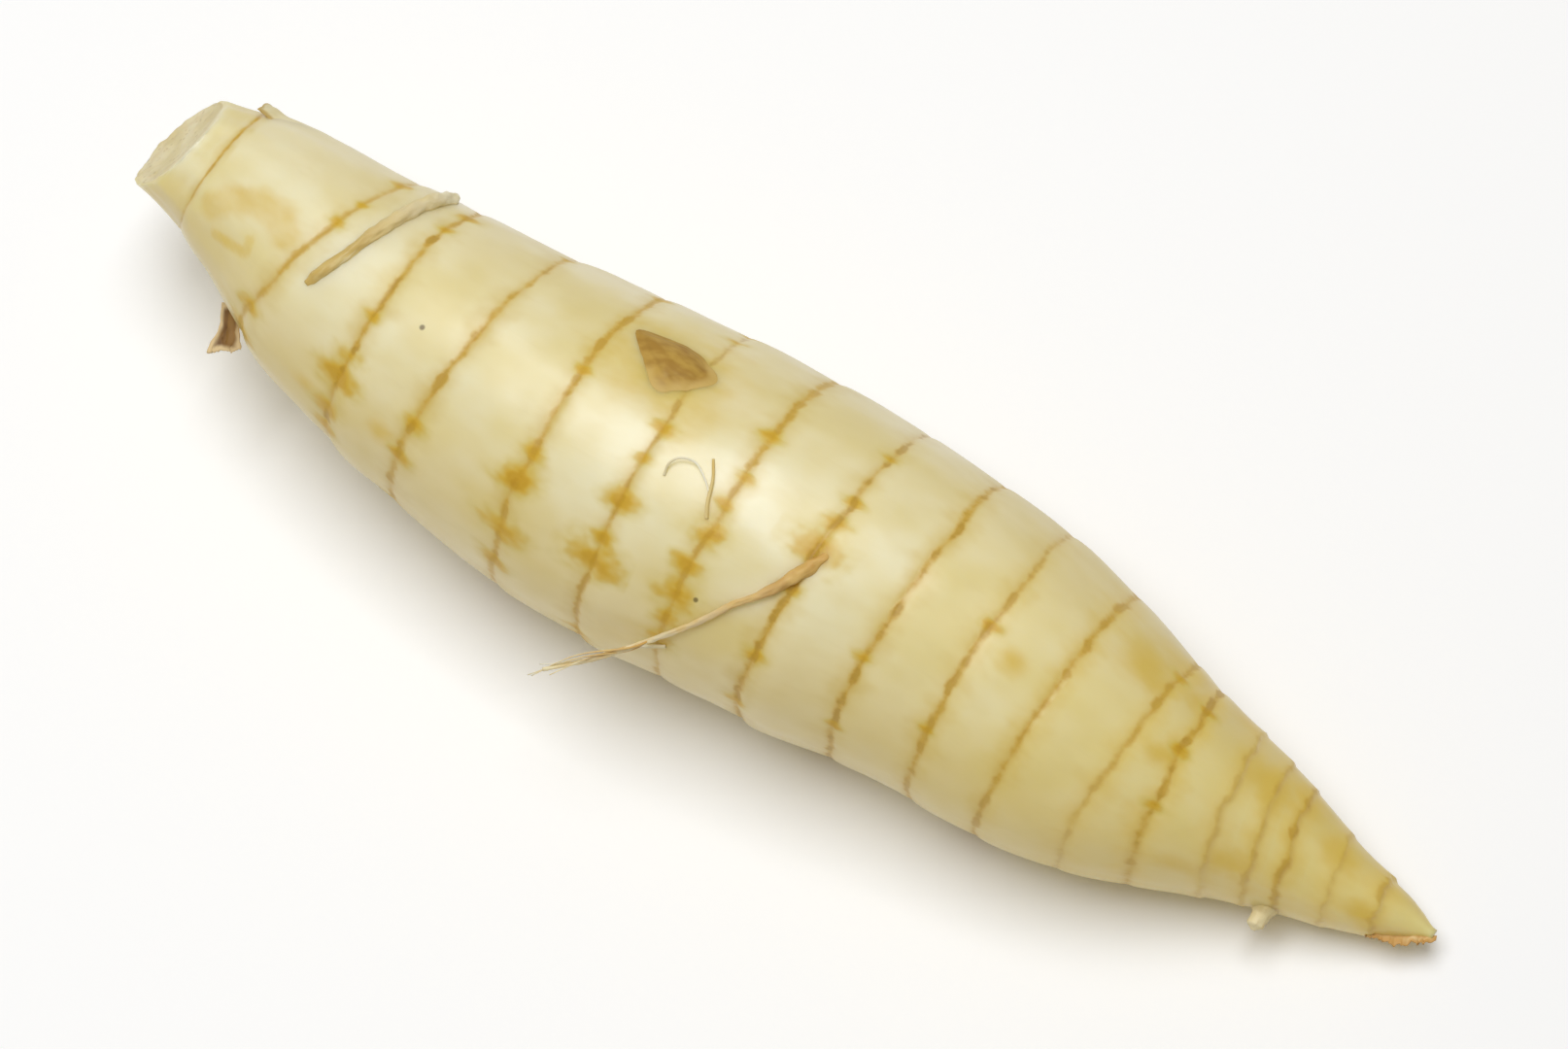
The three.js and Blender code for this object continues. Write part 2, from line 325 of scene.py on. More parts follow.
def cut_flesh():
    """Knife-cut starchy flesh, drying: matt and pale, with a faint ring inside the rind and the cut ends of
    the fibres as fine dots."""
    material, tree = new_material("dried_cut_flesh")
    where = add(tree, "Attribute", {}, "Vector", attribute_name="growth")
    clouds = grain(tree, where, 4, 4, 3.0)
    across = add(tree, "VectorMath", (where, (0, 1, 1)), **PRODUCT)
    out = add(tree, "VectorMath", (across,), "Value", operation="LENGTH")
    dots = add(tree, "TexVoronoi", {"Vector": across, "Scale": 1.15}, "Distance")
    wavy = add(tree, "Math", (clouds, 1.2, out), **PRODUCT_PLUS)
    off_ring = add(tree, "Math", (add(tree, "Math", (wavy, -5.0), **SUM),), **SIZE)
    colour = layered(tree, hue("#F3E7BE"), (
        ((clouds, 0.35, 0.65), hue("#E8D9A6")),
        ((dots, 0.3, 0.14, 0, 0.4), hue("#C2AC76")),
        ((off_ring, 0.9, 0.0, 0, 0.22), hue("#CDB67C")),
        ((wavy, 6.0, 6.9, 0, 0.35), hue("#BE9F62")),
    ))
    finish_material(tree, colour, 0.62, ((clouds, 0.25), (dots, -0.1)), {
        "IOR": 1.4,
        "Subsurface Weight": 0.25,
        "Subsurface Radius": (1.0, 0.75, 0.45),
        "Subsurface Scale": 1.5 * MM,
    })
    return material


def dry_leaf(name, pale, dark, rim):
    """A dead scale leaf: thin, papery and matt, with close parallel veins and a browner dry edge."""
    material, tree = new_material(name)
    where = add(tree, "Attribute", {}, "Vector", attribute_name="growth")
    edge = add(tree, "Attribute", {}, "Fac", attribute_name="edge")
    veins = grain(tree, where, 14, 0.5, 2.0)
    clouds = grain(tree, where, 4, 2.5, 1.5)
    wavy_edge = add(tree, "Math", (clouds, -1.2, edge), **PRODUCT_PLUS)
    colour = layered(tree, hue(pale), (
        ((clouds, 0.35, 0.65), hue(dark)),
        ((veins, 0.5, 0.75, 0, 0.5), hue(dark)),
        ((wavy_edge, 0.35, -0.5), hue(rim)),
    ))
    finish_material(tree, colour, 0.6, ((veins, 0.015), (clouds, 0.015)), {"IOR": 1.45})
    return material


def rootlet(name, pale, dark, tip):
    """A fibrous root: a dull tan bark, wrinkled lengthwise, browner at the base and paler at the end."""
    material, tree = new_material(name)
    where = add(tree, "Attribute", {}, "Vector", attribute_name="growth")
    share = add(tree, "Attribute", {}, "Fac", attribute_name="edge")
    wrinkles = grain(tree, where, 5, 0.35, 3.0)
    clouds = grain(tree, where, 3.5, 2, 3.0)
    wavy_share = add(tree, "Math", (clouds, 0.3, share), **PRODUCT_PLUS)
    colour = layered(tree, hue(dark), (
        ((wavy_share, 0.1, 0.95), hue(tip)),
        ((clouds, 0.4, 0.66, 0, 0.65), hue(pale)),
        ((wrinkles, 0.55, 0.72, 0, 0.4), hue(dark)),
    ))
    finish_material(tree, colour, 0.55, ((wrinkles, 0.12), (clouds, 0.06)), {
        "IOR": 1.42,
        "Subsurface Weight": 0.2,
        "Subsurface Radius": (1.0, 0.85, 0.7),
        "Subsurface Scale": 0.15 * MM,
    })
    return material


def bud_scales(name, pale, dark, seam, rim):
    """A dormant bud in tough brown scales: dull and leathery, and darker where one lies on the next."""
    material, tree = new_material(name)
    where = add(tree, "Attribute", {}, "Vector", attribute_name="growth")
    edge = add(tree, "Attribute", {}, "Fac", attribute_name="edge")
    clouds = grain(tree, where, 3, 1.6, 2.0)
    veins = grain(tree, where, 9, 0.5, 2.0)
    colour = layered(tree, hue(pale), (
        ((clouds, 0.35, 0.65), hue(dark)),
        ((edge, 0, 1, 0, 0.6), hue(seam)),
        ((edge, 0, -1, 0, 0.9), hue(rim)),
    ))
    finish_material(tree, colour, 0.58, ((veins, 0.035), (clouds, 0.04)), {"IOR": 1.45})
    return material


SKIN = waxy_skin()
CUT = cut_flesh()
SHEATH = dry_leaf("papery_sheath", "#F6EBC0", "#EFE2AE", "#CDB068")
FLAKE = dry_leaf("charred_brown_flake", "#9C7434", "#6B481A", "#DEC492")
FRAY = dry_leaf("frayed_tip_scale", "#EAD29A", "#D9B46C", "#CFA05A")
FRINGE = dry_leaf("scale_leaf_fringe", "#D0AE5C", "#B98F40", "#D6BC74")
LONG_BARK = rootlet("orange_root_bark", "#E4C070", "#D0A04A", "#F4EAC4")
STRAW_BARK = rootlet("straw_root_bark", "#E8D69A", "#F8F0CE", "#D4B566")
HAIR_BARK = rootlet("pale_hair_root", "#FAF5E0", "#E6D9AC", "#FAF5E0")
TAN_HAIR_BARK = rootlet("tan_hair_root", "#E6D08A", "#D9B862", "#E8D49A")
NUB_BARK = rootlet("young_root_skin", "#E9D9A6", "#D9C384", "#EFE2B8")
# Flat bud: its dark browns are partly its own colour, partly painted shade from a neighbouring rhizome
SHADED_FLAT_BUD = bud_scales("flat_bud_scales_and_shade", "#C29C46", "#A98030", "#8A6620", "#D2B264")
ROUND_BUD_SCALES = bud_scales("round_bud_scales", "#C2984E", "#A27834", "#6A4A18", "#D8BC78")


# ------------------------------------------------------------------------------------------------ meshes


def finished(bm, name, nodes, slot, *materials):
    """Turns a closed mesh in mm into a smooth piece in metres that rides on the one body. Its faces are
    turned outwards, by its volume where it is too thin for the usual test."""
    bmesh.ops.recalc_face_normals(bm, faces=bm.faces)
    if bm.calc_volume(signed=True) < 0:
        bmesh.ops.reverse_faces(bm, faces=bm.faces)
    bmesh.ops.scale(bm, vec=(MM, MM, MM), verts=bm.verts)
    mesh = bpy.data.meshes.new(name)
    bm.to_mesh(mesh)
    bm.free()
    for material in materials:
        mesh.materials.append(material)
    mesh.shade_smooth()
    piece = bpy.data.objects.new(name, mesh)
    bpy.context.scene.collection.objects.link(piece)
    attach(piece, "root")
    if nodes:
        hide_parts(*nodes)


def grid(rows, columns):
    """A flat grid, the row and column of each vertex, and its layers for growth and for the nearness of an
    edge. Its stain and ring layers are only filled in for the skin."""
    bm = bmesh.new()
    growth_layer = bm.verts.layers.float_vector.new("growth")
    edge_layer = bm.verts.layers.float.new("edge")
    bm.verts.layers.float_vector.new("stain")
    bm.loops.layers.float_vector.new("ring")
    bmesh.ops.create_grid(bm, x_segments=rows, y_segments=columns, size=0.5)
    places = {v: (round((v.co.x + 0.5) * rows), round((v.co.y + 0.5) * columns)) for v in bm.verts}
    return bm, places, growth_layer, edge_layer


def close_up(bm):
    """Joins the vertices that meet at a seam or a pole."""
    bmesh.ops.remove_doubles(bm, verts=bm.verts, dist=MEETING)


# What each ring shows: how strong its line is on the far and on the near side, and how brown it is
RING_LINES = [
    (1.2, 0.3, 0.3), (0.45, 0.75, 0.2), (0.75, 0.85, 0.8), (0.5, 0.95, 0.5), (0.95, 0.7, 0.4),
    (0.25, 0.75, 0.45), (0.95, 0.6, 0.35), (0.35, 1.0, 0.75), (0.85, 0.7, 0.8), (0.4, 0.75, 0.45),
    (0.75, 0.65, 0.4), (0.9, 0.3, 0.25), (1.1, 0.6, 0.6), (0.45, 0.35, 0.2), (0.55, 0.45, 0.2),
    (0.8, 0.65, 0.35), (0.35, 0.3, 0.2), (0.55, 0.45, 0.2),
]

# Ochre marks on the rings, where roots and buds would break through: turn, half width and darkness
RING_MARKS = {
    1: [(70, 0.4, 0.2), (85, 0.6, 0.3), (150, 0.8, 0.4), (172, 1.0, 0.5)],
    2: [(60, 0.5, 0.8), (110, 0.5, 0.3), (130, 0.8, 0.6), (142, 1.25, 0.7), (160, 1.0, 0.6),
        (173, 0.8, 0.6)],
    3: [(136, 0.7, 0.7), (152, 0.7, 0.7), (190, 0.8, 0.6)],
    4: [(86, 0.55, 0.5), (118, 0.6, 0.5), (130, 1.1, 0.9), (151, 1.25, 0.8), (168, 0.9, 0.6)],
    5: [(91, 0.7, 0.4), (103, 0.6, 0.3), (119, 1.05, 0.7), (133, 0.7, 0.6), (141, 1.6, 1.0),
        (183, 0.9, 1.0), (191, 1.3, 1.0)],
    6: [(76, 0.6, 0.6), (93, 0.55, 0.4), (104, 0.6, 0.4), (115, 1.1, 0.8), (127, 0.9, 0.6),
        (139, 1.2, 0.9), (149, 0.8, 0.6), (160, 0.9, 0.7)],
    7: [(83, 0.55, 0.5), (92, 0.7, 0.6), (103, 1.4, 0.9), (118, 0.6, 0.6), (146, 0.7, 0.4),
        (173, 0.7, 0.7)],
    8: [(128, 0.5, 0.4), (160, 0.5, 0.5)],
    9: [(94, 0.5, 0.8), (140, 0.45, 0.3)],
    12: [(87, 0.55, 1.0), (119, 0.5, 0.5)],
}
MARK_LENGTH = 1.7  # times its width
HIDDEN_MARKS = 3  # on the side away from the viewer, on each ring of the thick part
MARKED_RINGS = range(1, 13)

# Faint ochre smudges between the rings: along, turn, half length and half width. The broad ones on the far
# shoulder and on the far side of the point are partly painted shade, the yellowing of skin in a
# neighbouring rhizome's shade.
SMUDGES_AND_SHADE = [
    (30.6, 186, 2, 1.3), (34.5, 158, 1.8, 1.3), (45.3, 149, 2.2, 1.8), (118, 100, 2, 1.6),
    (135.8, 95, 1.9, 1.6), (141.8, 150, 2.2, 1.8), (147.6, 69, 3.6, 2.6), (146.5, 137, 3, 2),
    (143, 32, 3.2, 2.4), (153, 48, 2.8, 2), (70, 70, 8.8, 7.4), (129, 62, 4, 3.4),
    (133, 40, 5, 3.6), (137, 55, 3, 2.4), (158, 75, 3, 2.4), (162, 131, 2.6, 1.6),
]
BUD_SMUDGE = (3.6, 3.4)  # half length and half width of the one round each round bud

# Smears on the neck, where a root was rubbed off: the path as along and turn, and the half width
STROKES = [
    ([(13.8, 126), (15.5, 114), (18, 105), (20.8, 102), (23.2, 107)], 1.9),
    ([(16.4, 140), (19, 135.5), (21.6, 130.5), (20.8, 123)], 0.7),
]
NECK_RADIUS = 11.0
SMEAR_DEPTH = 0.38  # how much of a smudge's full colour a smear has

# How finely the skin is divided: its sides, and its rows near to a ring and far from one
SKIN_SIDES = 180
CLOSEST_ROWS = 0.19
WIDEST_ROWS = 0.5

# The cut face: its rows, how rounded its edge is, and how far it is hollow, rough and wavy at the rim
CUT_ROWS = 22
CUT_EDGE = 0.35
EDGE_SLOPE = 0.35
CUT_HOLLOW = 0.55
CUT_ROUGHNESS = 0.28
RIM_WAVES = 0.4

MARK_RELIEF = 0.08  # how far a mark stands out
TABLE_GIVE = 0.5  # the underside is flattened this softly where it lies on the table
YOUNG_RINGS = 13  # from this ring on, the scale leaves are still wrapped round the point
BULGING_RINGS = (1, 2, 5, 7)  # after these the skin swells out further
YOUNG_EDGE = 0.24
LAST_EDGE = 0.22


def ring_path(index, turn):
    """How far a ring strays along the rhizome at that turn."""
    angle = math.radians(turn)
    x, y = math.cos(angle), math.sin(angle)
    return 0.5 * wander(2.3 * x, 2.3 * y, 7.3 * index) + 0.22 * wander(7 * x, 7 * y, 5.1 * index + 3)


def ring_strength(index, turn):
    """How strong a ring's line is at that turn."""
    far, near, _ = RING_LINES[index]
    return far + (near - far) * (1 - math.cos(math.radians(turn))) / 2


def ring_relief(index, past, turn):
    """What a ring adds to the height of the skin at a distance past it: a groove, with a shoulder after it,
    or near the point the edge of a scale that is still wrapped round."""
    if index >= YOUNG_RINGS:
        edge = YOUNG_EDGE + LAST_EDGE * (index == len(RINGS) - 1)
        return edge * (math.exp(past / 3.2) if past < 0 else math.exp(-((past / 0.3) ** 2)))
    angle = math.radians(turn)
    depth = 0.05 + 0.04 * wander(2 * math.cos(angle), 2 * math.sin(angle), 3.7 * index)
    groove = -depth * math.exp(-((past / 0.45) ** 2))
    if past < 0:
        return groove - 0.05 * math.exp(past / 1.6)
    left = max(0.0, 1 - past / INTERNODES[index + 1])
    swell = SHOULDER + 0.6 * (index in BULGING_RINGS) * (1 - math.cos(angle)) / 2
    return groove - 0.05 * math.exp(-past / 0.9) + swell * (1 - math.exp(-past / 1.6)) * left ** 1.5


def skin_relief(along, turn):
    """The height that the rings before and after a place give the skin there."""
    last = sum(ring < along for ring in RINGS) - 1
    return sum(ring_relief(index, along - RINGS[index] - ring_path(index, turn), turn)
               for index in range(max(0, last - 1), min(len(RINGS), last + 3)))


def skin_height(along, turn):
    """How far the skin at a place stands out from the smooth shape."""
    angle = math.radians(turn)
    x, y = math.cos(angle), math.sin(angle)
    fade = min(1.0, RADIUS(along) / FULL_RELIEF)
    dried = 1 - step_between(12, 40, along)
    rings = max(fade, 0.75 * (along > RINGS[YOUNG_RINGS])) * skin_relief(along, turn)
    lumps = 0.38 * wander(along / 15, 1.5 * x, 1.5 * y + 9) + 0.08 * wander(along / 5, 4 * x, 4 * y)
    return rings + fade * lumps + 0.2 * dried * wander(along / 14, 5 * x, 5 * y + 4)


def on_skin(along, turn, height):
    """A point at a height above the skin."""
    angle = math.radians(turn)
    reach = RADIUS(along) + skin_height(along, turn) + height
    return in_section(along, reach * math.cos(angle), reach * math.sin(angle))


def angle_between(turn, other):
    """The turn as seen from the other, from -180 to 180."""
    return (turn - other + 180) % 360 - 180


def mark_field(past, turn, radius, marks):
    """How far inside the nearest mark a point is, from below 0 outside it to 1 in its middle, and how dark
    that mark is."""
    best, darkness = -2.0, 0.0
    for mark_turn, half, dark in marks:
        side = math.radians(angle_between(turn, mark_turn)) * radius
        field = 1 - math.hypot(past / (MARK_LENGTH * half), side / half)
        if field > best:
            best, darkness = field, dark
    return best, darkness


def spot_field(along, turn, radius, spots):
    """How far inside the nearest smudge a point is, from -1 well outside to 1 at its middle. Some smudges
    are partly painted shade.
    """
    best = -1.0
    for spot_along, spot_turn, half_long, half_wide in spots:
        side = math.radians(angle_between(turn, spot_turn)) * radius
        best = max(best, 1 - math.hypot((along - spot_along) / half_long, side / half_wide))
    return best


def stroke_field(along, turn, path, half):
    """How far inside a smear along a path on the neck a point is, from -1 outside to SMEAR_DEPTH inside."""
    if abs(along - path[0][0]) > 3 * NECK_RADIUS:
        return -1.0
    here = Vector((along, math.radians(turn) * NECK_RADIUS))
    flat = [Vector((place, math.radians(place_turn) * NECK_RADIUS)) for place, place_turn in path]
    nearest = 2.0 * half
    for start, end in zip(flat, flat[1:]):
        run = end - start
        share = min(max((here - start).dot(run) / run.length_squared, 0.0), 1.0)
        nearest = min(nearest, (here - start - run * share).length)
    return min(SMEAR_DEPTH, 1 - nearest / half)


def skin_rows():
    """Distances along the skin, close together at the rings."""
    rows = [CUT_EDGE]
    while rows[-1] < LENGTH - CLOSEST_ROWS:
        to_ring = min(abs(rows[-1] - ring) for ring in RINGS)
        rows.append(rows[-1] + min(WIDEST_ROWS, CLOSEST_ROWS + 0.17 * max(0.0, to_ring - 0.8)))
    return rows


def nearest_ring(along):
    """The index of the ring nearest to a place."""
    return min(range(len(RINGS)), key=lambda i: abs(along - RINGS[i]))


def fleshy_stem():
    """The rhizome itself, from the cut face over its rim and along the skin to the point."""
    draw = random.Random(4)
    marks = {}
    for index in range(len(RINGS)):
        marks[index] = list(RING_MARKS.get(index, []))
        if index in MARKED_RINGS:
            marks[index] += [(draw.uniform(200, 420), draw.uniform(0.45, 0.85), draw.uniform(0.2, 0.9))
                             for _ in range(HIDDEN_MARKS)]
    smudges_and_shade = SMUDGES_AND_SHADE + [(*bud_place, *BUD_SMUDGE) for bud_place in ROUND_BUDS]
    # A row is its place along and, off the skin, its share of the way out, which the roughness goes by
    cut = [(0.0, row / CUT_ROWS) for row in range(CUT_ROWS)]
    rim = [(0.0, 1.0), (0.12, 1.045), (CUT_EDGE * 0.6, 1.06)]
    skin = [(along, None) for along in skin_rows()]
    rows = [*cut, *rim, *skin, (LENGTH, 0.0)]
    rim_share = 1 - CUT_EDGE / RADIUS(0)
    bm, places, growth_layer, _ = grid(len(rows) - 1, SKIN_SIDES)
    ring_layer = bm.loops.layers.float_vector["ring"]
    stain_layer = bm.verts.layers.float_vector["stain"]

    for face in bm.faces:
        first = min(places[vertex][0] for vertex in face.verts)
        index = nearest_ring((rows[first][0] + rows[first + 1][0]) / 2)
        brown = RING_LINES[index][2]
        for loop in face.loops:
            row, column = places[loop.vert]
            turn = 360 * column / SKIN_SIDES
            past = rows[row][0] - RINGS[index] - ring_path(index, turn)
            loop[ring_layer] = (past, ring_strength(index, turn), brown)
        face.material_index = int(first < CUT_ROWS)

    for vertex, (row, column) in places.items():
        along, share = rows[row]
        turn = 360 * column / SKIN_SIDES
        angle = math.radians(turn)
        x, y = math.cos(angle), math.sin(angle)
        radius = RADIUS(along)
        spread = radius
        if share is None:
            index = nearest_ring(along)
            past = along - RINGS[index] - ring_path(index, turn)
            field, dark = mark_field(past, turn, radius, marks[index])
            smears = [stroke_field(along, turn, *stroke) for stroke in STROKES]
            # The smudges, some partly painted shade, and the smears on the neck
            smudge_and_shade = max(spot_field(along, turn, radius, smudges_and_shade), *smears)
            vertex[stain_layer] = (field, smudge_and_shade, dark)
            reach = radius + skin_height(along, turn) + MARK_RELIEF * max(0.0, field)
        else:
            hollow = 0.0
            if along == 0:
                hollow = CUT_HOLLOW * (1 - share ** 2)
                reach = radius * share * rim_share
            elif along < LENGTH:
                reach = radius - (CUT_EDGE - along) * EDGE_SLOPE
            else:
                reach = 0.0
            rough = CUT_ROUGHNESS * wander(0.9 * share * radius * x, 0.9 * share * radius * y, 2)
            rough += RIM_WAVES * share ** 4 * wander(1.5 * x, 1.5 * y, 6)
            along += hollow + rough
            spread = reach
            vertex[stain_layer] = (-1.0, -1.0, 0.0)
        vertex[growth_layer] = (along, spread * x, spread * y)
        point = in_section(along, reach * x, reach * y)
        point.z = (point.z + math.hypot(point.z, TABLE_GIVE)) / 2
        vertex.co = point
    close_up(bm)
    finished(bm, "fleshy_stem", ["rhizome"], "skin", SKIN, CUT)


FINE_STEPS = 24  # between two points of a path, before it is divided evenly


def path_through(points, count):
    """count points evenly spaced on a smooth curve through the points."""
    curve = [points[0] * 2 - points[1], *points, points[-1] * 2 - points[-2]]
    fine = []
    for a, b, c, d in zip(curve, curve[1:], curve[2:], curve[3:]):
        for step in range(FINE_STEPS):
            t = step / FINE_STEPS
            fine.append(0.5 * (2 * b + (c - a) * t + (2 * a - 5 * b + 4 * c - d) * t ** 2
                               + (3 * b - a - 3 * c + d) * t ** 3))
    fine.append(points[-1])
    lengths = list(accumulate([0.0] + [(q - p).length for p, q in zip(fine, fine[1:])]))
    path = []
    for i in range(count):
        at = lengths[-1] * i / (count - 1)
        j = min(max(bisect_right(lengths, at) - 1, 0), len(fine) - 2)
        part = (at - lengths[j]) / max(lengths[j + 1] - lengths[j], 1e-9)
        path.append(fine[j].lerp(fine[j + 1], part))
    return path, lengths[-1]


def rod(points, width, rows, sides, chance):
    """A closed rod along a path. width gives its diameter for a share of its length, and chance how rough
    it is."""
    path, length = path_through(points, rows + 1)
    shares = [0.0, *[row / rows for row in range(rows + 1)], 1.0]
    bm, places, growth_layer, edge_layer = grid(len(shares) - 1, sides)
    ahead = [(path[min(i + 1, rows)] - path[max(i - 1, 0)]).normalized() for i in range(rows + 1)]
    side = ahead[0].orthogonal().normalized()
    sides_of = []
    for direction in ahead:
        side = (side - direction * side.dot(direction)).normalized()
        sides_of.append(side)
    for vertex, (row, column) in places.items():
        i = min(max(row - 1, 0), rows)
        share = shares[row]
        angle = 2 * math.pi * column / sides
        x, y = math.cos(angle), math.sin(angle)
        reach = width(share) / 2
        reach *= 1 + chance * wander(share * length / 1.2, 1.5 * x, 1.5 * y + share)
        if row in (0, len(shares) - 1):
            reach = 0.0
        across = ahead[i].cross(sides_of[i])
        vertex[growth_layer] = (share * length, reach * x, reach * y)
        vertex[edge_layer] = share
        vertex.co = path[i] + sides_of[i] * (reach * x) + across * (reach * y)
    close_up(bm)
    return bm


def merged(target, *others):
    """Puts the other meshes into the first."""
    for other in others:
        loose = bpy.data.meshes.new("loose")
        other.to_mesh(loose)
        other.free()
        target.from_mesh(loose)
        bpy.data.meshes.remove(loose)
    return target


def laid(sheet, along, turn):
    """Lays a flat piece on the skin: x goes along the rhizome, y round it and z out of it."""
    per_degree = math.radians(RADIUS(along) + SHOULDER)
    for vertex in sheet.verts:
        x, y, z = vertex.co
        vertex.co = on_skin(along + x, turn - y / per_degree, z)


def hung(sheet, root, down, across):
    """Hangs a flat piece from a place on the skin: x goes down from it, y across it, and z out of it."""
    start = on_skin(*root)
    outwards = across.cross(down).normalized()
    for vertex in sheet.verts:
        x, y, z = vertex.co
        vertex.co = start + down * x + across * y + outwards * z


def leaf(long, wide, rows, columns, outline, surface, thick):
    """A thin closed scale. outline bends the sheet's square to its shape, and surface gives its height."""
    bm, places, growth_layer, edge_layer = grid(rows, columns)
    for vertex, (row, column) in places.items():
        u, v = row / rows, column / columns
        x, y = outline(u, v)
        vertex[growth_layer] = (x, y, 0.0)
        vertex[edge_layer] = min(u * long, (1 - u) * long, v * wide, (1 - v) * wide)
        vertex.co = (x, y, surface(u, v))
    bmesh.ops.recalc_face_normals(bm, faces=bm.faces)
    if bm.faces[0].normal.z < 0:
        bmesh.ops.reverse_faces(bm, faces=bm.faces)
    bmesh.ops.solidify(bm, geom=list(bm.faces), thickness=thick)
    return bm


def neck_sheath():
    """The sheath on the far side of the neck: a tapering scale that clings to the skin but for a corner."""
    long, wide = 14.5, 15.5

    def outline(u, v):
        fray = 0.3 * wander(9 * v, 1) + 0.15 * wander(23 * v, 2)
        x = (u - 0.5) * long + fray * (1 - u) + (0.8 * wander(5 * v, 5) - 3.5 * (1 - v) ** 3) * u
        tongue = 1 - 0.8 * u ** 1.6
        y = (v - 0.5) * wide * tongue + (0.5 * wander(5 * u, 3) + 0.12 * wander(25 * u, 4)) * (1 - 2 * v)
        return x, y + 1.5 * u

    def surface(u, v):
        lifted = step_between(0.7, 0.1, v) * step_between(0.3, 0.0, u) * 1.1
        standing = 0.4 * step_between(0.0, 0.45, v) - 0.02
        sunk = 0.6 * step_between(0.4, 1.0, u) + 0.3 * step_between(0.9, 1.0, u)
        return standing + lifted - sunk + 0.015 * wander(2 * u, 5 * v, 1)

    bm = leaf(long, wide, 56, 60, outline, surface, 0.12)
    laid(bm, 15.2, 6)
    finished(bm, "neck_sheath", ["neck_scale"], "dry_scale", SHEATH)


# Where the two loose scales hang: along, turn and height, and the ways down and across them
FLAKE_ROOT = (22.2, 194, -0.6)
FLAKE_HANG = Vector((0.4, -0.84, -0.36))
FLAKE_ACROSS = Vector((0.85, 0.5, 0.05))
FRAY_ROOT = (162.9, 194, -0.75)
FRAY_HANG = Vector((0.3, -0.86, -0.4))
FRAY_ACROSS = Vector((0.87, 0.49, -0.02))


def torn_flake():
    """The charred flake that hangs off the near side, narrow where it is attached and ragged at its end."""
    long, wide = 5.9, 3.9

    def outline(u, v):
        ends = 0.35 * wander(4.3 * v, 3.4) + 0.25 * wander(13 * v, 5) - 0.5 * v
        narrow = 0.55 + 0.45 * step_between(0.35, 1.0, u)
        side = (v - 0.5) * wide * narrow + (0.7 * wander(2.2 * u, 7.7) + 0.25 * wander(6 * u, 9 * v)) * u
        return u * long + ends * u ** 3, side

    def surface(u, v):
        folded = 0.5 * abs(v - 0.6) + 0.35 * wander(2.3 * u, 3 * v, 5)
        return 1.0 * u * (1 - u) + folded * u - 1.2 * (v - 0.5) ** 2 * u

    bm = leaf(long, wide, 34, 30, outline, surface, 0.28)
    hung(bm, FLAKE_ROOT, FLAKE_HANG, FLAKE_ACROSS)
    finished(bm, "torn_flake", ["torn_scale"], "dark_scale", FLAKE)


def frayed_tip():
    """The dry scale that hangs in fibres from the near side of the point."""
    long, wide = 1.25, 8.0

    def outline(u, v):
        ends = 0.6 * wander(8 * v, 3) + 0.35 * wander(22 * v, 5)
        fading = 1 - 0.6 * abs(2 * v - 1) ** 2.5
        return u * (long * fading + ends), v * wide + 0.25 * wander(3 * u, 12 * v) * u

    def surface(u, v):
        return 0.25 * wander(2 * u, 9 * v) * u - 0.5 * u ** 2

    bm = leaf(long, wide, 20, 70, outline, surface, 0.16)
    hung(bm, FRAY_ROOT, FRAY_HANG, FRAY_ACROSS)
    finished(bm, "frayed_tip", ["tip_scale"], "dry_scale", FRAY)


BUD_CORNERS = [(-7.2, 3.0), (0.6, -4.9), (6.6, 0.6), (1.8, 4.6)]  # along and across from the bud's middle
BUD_SHARPNESS = 5
BUD_BASE = -0.6  # how far a bud is rooted in the skin


def rounded_reach(corners, angle):
    """How far the edge of a cornered shape is from its middle at an angle, with its corners rounded off."""
    total = 0.0
    for (x, y), (next_x, next_y) in zip(corners, corners[1:] + corners[:1]):
        out = Vector((next_y - y, x - next_x)).normalized()
        facing = (out.x * math.cos(angle) + out.y * math.sin(angle)) / (out.x * x + out.y * y)
        total += max(0.0, facing) ** BUD_SHARPNESS
    return total ** (-1 / BUD_SHARPNESS)


def bud_rows(rings):
    """The rows of a closed bud: its top from the middle out, then its base under the skin. Each has its
    share of the way out, and whether it is on the base."""
    return [*((ring / rings, False) for ring in range(rings + 1)), (1.0, True), (0.0, True)]


def flat_bud():
    """The three-cornered bud on the far shoulder: a low outer and inner scale, rounded into the skin."""
    sides = 96
    rows = bud_rows(40)
    bm, places, growth_layer, edge_layer = grid(len(rows) - 1, sides)
    for vertex, (row, column) in places.items():
        share, on_base = rows[row]
        angle = 2 * math.pi * column / sides
        x, y = math.cos(angle), math.sin(angle)
        reach = rounded_reach(BUD_CORNERS, angle) * (1 + 0.04 * wander(2.5 * x, 2.5 * y, 8))
        inner = 0.6 + 0.08 * wander(1.5 * x, 1.5 * y, 3) + 0.18 * y
        height = 0.95 * (1 - share ** 2) ** 1.4 + 0.07 * step_between(inner + 0.08, inner - 0.04, share)
        vertex[growth_layer] = (reach * share * x, reach * share * y, 0.0)
        # Painted light and shade: lighter towards its lower corner, where it fades into the skin, and
        # darker towards its far edge
        fading = step_between(-0.7, 0.6, x - y) * step_between(0.45, 1.0, share)
        vertex[edge_layer] = 0.4 * math.exp(-(((share - inner) / 0.09) ** 2)) - 1.1 * fading
        vertex.co = (reach * share * x, reach * share * y, BUD_BASE if on_base else height - 0.07)
    close_up(bm)
    laid(bm, 69, 68)
    finished(bm, "flat_bud", ["pointed_bud"], "bud", SHADED_FLAT_BUD)


